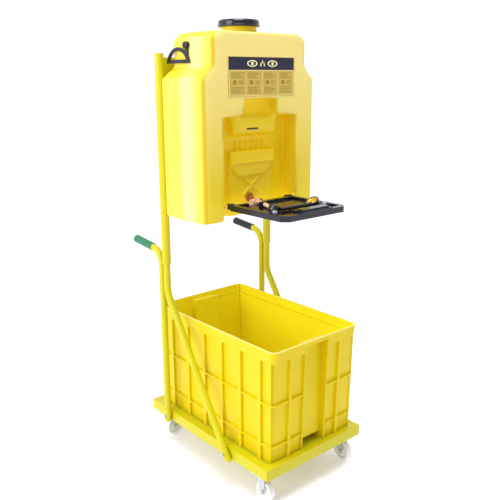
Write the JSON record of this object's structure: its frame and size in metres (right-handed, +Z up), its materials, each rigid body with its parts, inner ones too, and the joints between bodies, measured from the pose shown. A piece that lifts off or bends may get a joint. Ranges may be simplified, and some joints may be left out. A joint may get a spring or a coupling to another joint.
{
  "type": "portable eyewash station on a trolley",
  "caption": "Gravity-fed eyewash tank with a fold-down spray tray, lift-off on a wheeled tube trolley that also carries a waste-water crate.",
  "frame": {"origin": "on the floor, under the middle of the whole station's box at rest", "axes": "+Z up, -Y towards the user who faces the spray tray, +X to the user's right"},
  "size_m": [0.5374, 0.7476, 1.6245],
  "materials": {
    "frame_paint": "semi-gloss powder coat",
    "deck_paint": "semi-gloss powder coat",
    "zinc": "bright zinc plate",
    "wheel_nylon": "white moulded nylon",
    "crate_plastic": "satin moulded polypropylene",
    "tank_plastic": "satin blow-moulded polyethylene",
    "black_plastic": "glossy moulded ABS",
    "label_print": "printed film",
    "green_grip": "ribbed soft vinyl",
    "dark_grip": "ribbed soft vinyl",
    "gasket_rubber": "moulded rubber",
    "outlet_brown": "moulded fitting",
    "pipe_cream": "cream moulded pipe",
    "cup_gold": "golden moulded cup",
    "plug_grey": "light grey moulding"
  },
  "bodies": {
    "cart": {"deck_frame": "frame_paint", "deck_sheet": "deck_paint", "deck_crossbars": "frame_paint", "corner_gussets": "frame_paint", "caster_plates": "zinc", "caster_bolts": "zinc", "brace_tube_left": "frame_paint", "brace_tube_right": "frame_paint", "handle_tube_left": "frame_paint", "handle_tube_right": "frame_paint", "post_left": "frame_paint", "post_right": "frame_paint", "post_caps": "frame_paint", "weld_tabs": "frame_paint", "foot_bolts": "zinc", "grip_left": "green_grip", "grip_right": "dark_grip", "hanger_plate": "frame_paint", "lower_crossbar": "frame_paint"},
    "fork_fl": {"fork_fl": "zinc", "axle_fl": "zinc"},
    "wheel_fl": {"wheel_fl": "wheel_nylon"},
    "fork_fr": {"fork_fr": "zinc", "axle_fr": "zinc"},
    "wheel_fr": {"wheel_fr": "wheel_nylon"},
    "fork_bl": {"fork_bl": "zinc", "axle_bl": "zinc"},
    "wheel_bl": {"wheel_bl": "wheel_nylon"},
    "fork_br": {"fork_br": "zinc", "axle_br": "zinc"},
    "wheel_br": {"wheel_br": "wheel_nylon"},
    "crate": {"crate": "crate_plastic"},
    "tank": {"tank_shell": "tank_plastic", "tank_hook": "zinc", "hook_screws": "zinc", "label_plate": "label_print", "ring_studs": "black_plastic", "outlet_fitting": "outlet_brown", "hinge_pins": "zinc", "drain_plug": "black_plastic"},
    "cap_seal": {"cap_gasket": "gasket_rubber"},
    "cap": {"cap": "black_plastic"},
    "ring_left": {"ring_left": "black_plastic", "ring_clip_left": "zinc"},
    "ring_right": {"ring_right": "black_plastic", "ring_clip_right": "zinc"},
    "spray_tray": {"tray": "black_plastic", "swivel_pipe": "pipe_cream", "cross_pipe": "black_plastic", "pipe_clip": "black_plastic", "head_shell_left": "black_plastic", "head_shell_right": "black_plastic", "spray_insert_left": "cup_gold", "spray_insert_right": "cup_gold", "side_plugs": "plug_grey"}
  },
  "joints": [
    {"name": "swivel_fl", "type": "hinge", "parent": "cart", "child": "fork_fl", "pos_m": [-0.2, -0.30881, 0.095], "axis": [0, 0, 1], "continuous": true},
    {"name": "roll_fl", "type": "hinge", "parent": "fork_fl", "child": "wheel_fl", "pos_m": [-0.2, -0.32681, 0.0375], "axis": [1, 0, 0], "continuous": true},
    {"name": "swivel_fr", "type": "hinge", "parent": "cart", "child": "fork_fr", "pos_m": [0.2, -0.30881, 0.095], "axis": [0, 0, 1], "continuous": true},
    {"name": "roll_fr", "type": "hinge", "parent": "fork_fr", "child": "wheel_fr", "pos_m": [0.2, -0.32681, 0.0375], "axis": [1, 0, 0], "continuous": true},
    {"name": "swivel_bl", "type": "hinge", "parent": "cart", "child": "fork_bl", "pos_m": [-0.2, 0.26119, 0.095], "axis": [0, 0, 1], "continuous": true},
    {"name": "roll_bl", "type": "hinge", "parent": "fork_bl", "child": "wheel_bl", "pos_m": [-0.182, 0.26119, 0.0375], "axis": [0, 1, 0], "continuous": true},
    {"name": "swivel_br", "type": "hinge", "parent": "cart", "child": "fork_br", "pos_m": [0.2, 0.26119, 0.095], "axis": [0, 0, 1], "continuous": true},
    {"name": "roll_br", "type": "hinge", "parent": "fork_br", "child": "wheel_br", "pos_m": [0.2, 0.24319, 0.0375], "axis": [1, 0, 0], "continuous": true},
    {"name": "crate_lift", "type": "slide", "parent": "cart", "child": "crate", "axis": [0, 0, 1], "range_m": [0, 0.35]},
    {"name": "tank_lift", "type": "slide", "parent": "cart", "child": "tank", "axis": [0, 0, 1], "range_m": [0, 0.06]},
    {"name": "cap_lift", "type": "slide", "parent": "tank", "child": "cap_seal", "axis": [0, 0, 1], "range_m": [0, 0.15]},
    {"name": "cap_turn", "type": "hinge", "parent": "cap_seal", "child": "cap", "pos_m": [0, 0.03689, 1.618], "axis": [0, 0, 1], "continuous": true},
    {"name": "ring_swing_left", "type": "hinge", "parent": "tank", "child": "ring_left", "pos_m": [-0.23035, 0.02989, 1.535], "axis": [1, 0, 0], "range_deg": [0, 100]},
    {"name": "ring_swing_right", "type": "hinge", "parent": "tank", "child": "ring_right", "pos_m": [0.23035, 0.02989, 1.535], "axis": [1, 0, 0], "range_deg": [0, 100]},
    {"name": "tray_fold", "type": "hinge", "parent": "tank", "child": "spray_tray", "pos_m": [0, -0.07111, 1], "axis": [-1, 0, 0], "range_deg": [0, 90]}
  ]
}
